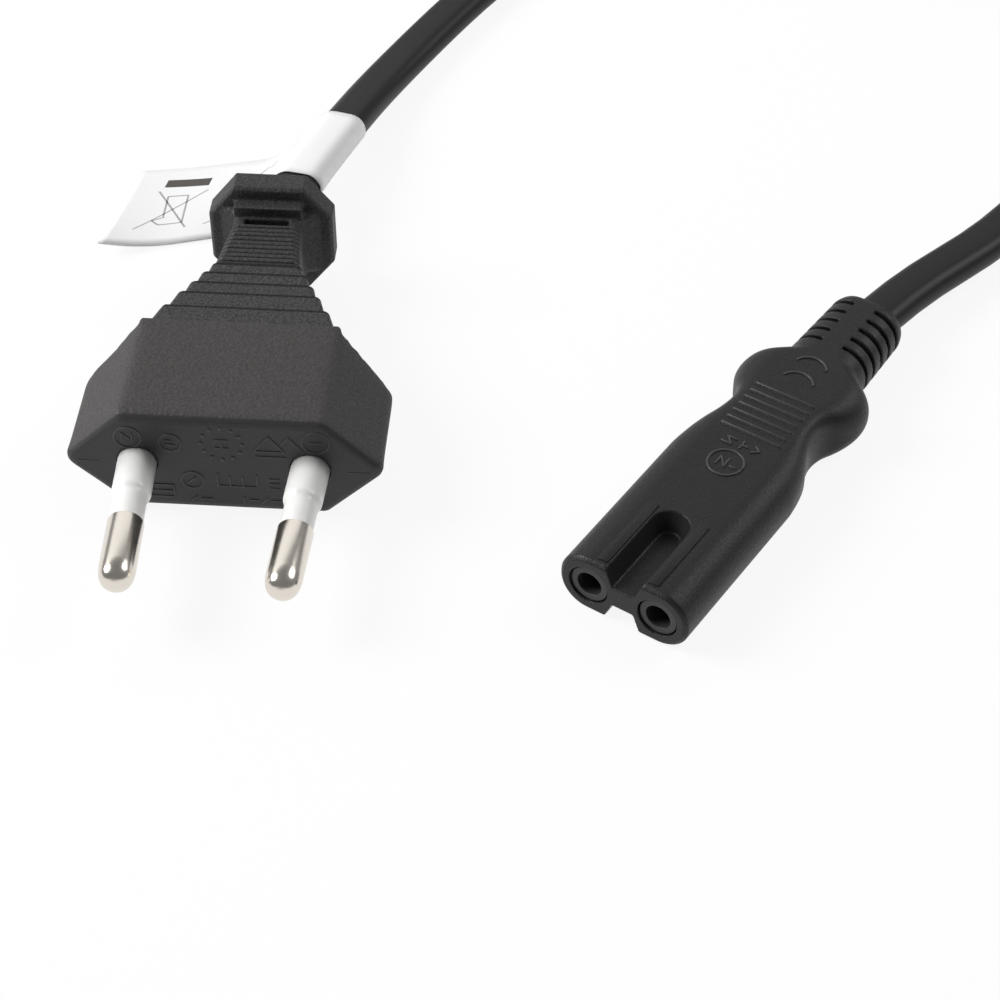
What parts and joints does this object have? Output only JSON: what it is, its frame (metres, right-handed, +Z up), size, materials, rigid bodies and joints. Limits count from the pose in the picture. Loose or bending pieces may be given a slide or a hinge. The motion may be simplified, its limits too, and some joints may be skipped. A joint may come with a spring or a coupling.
{
  "type": "figure eight power connector",
  "caption": "Black figure eight appliance connector on a flat mains lead, with a slim round pin plug, a tied coil of spare cord and a white flag label.",
  "frame": {"origin": "middle of the underside of the figure eight connector, on the plane that the lead lies on", "axes": "+Z up from the plane that the lead lies on; +Y along the connector from its mating face back to its cord; +X to the connector's right seen from behind it"},
  "size_m": [0.101, 0.2454, 0.0158],
  "materials": {
    "black_overmould": "satin black PVC with fine spark texture",
    "insert_plastic": "smooth dark hard plastic",
    "contact_metal": "bright stamped brass",
    "conductor": "stranded bare copper",
    "brown_insulation": "smooth PVC",
    "blue_insulation": "smooth PVC",
    "cord_sheath": "smooth satin black PVC",
    "pin_metal": "nickel plated, slightly brushed",
    "tie_strap": "matt woven strap",
    "white_sleeve": "glossy white",
    "bridge_plastic": "hard light plastic",
    "label_film": "white film, printed with plain dark shapes"
  },
  "bodies": {
    "root": {"connector_shell": "black_overmould", "connector_insert": "insert_plastic", "contact_left": "contact_metal", "contact_right": "contact_metal", "connector_core_left": "brown_insulation", "connector_core_right": "blue_insulation", "connector_wire_left": "conductor", "connector_wire_right": "conductor", "cord_connector_end": "cord_sheath", "cord_coil": "cord_sheath", "cord_plug_end": "cord_sheath", "coil_tie": "tie_strap", "cord_label": "label_film", "plug_shell": "black_overmould", "plug_bridge": "bridge_plastic", "pin_left": "pin_metal", "pin_right": "pin_metal", "sleeve_left": "white_sleeve", "sleeve_right": "white_sleeve", "plug_core_left": "brown_insulation", "plug_core_right": "blue_insulation", "plug_wire_left": "conductor", "plug_wire_right": "conductor"}
  },
  "joints": []
}
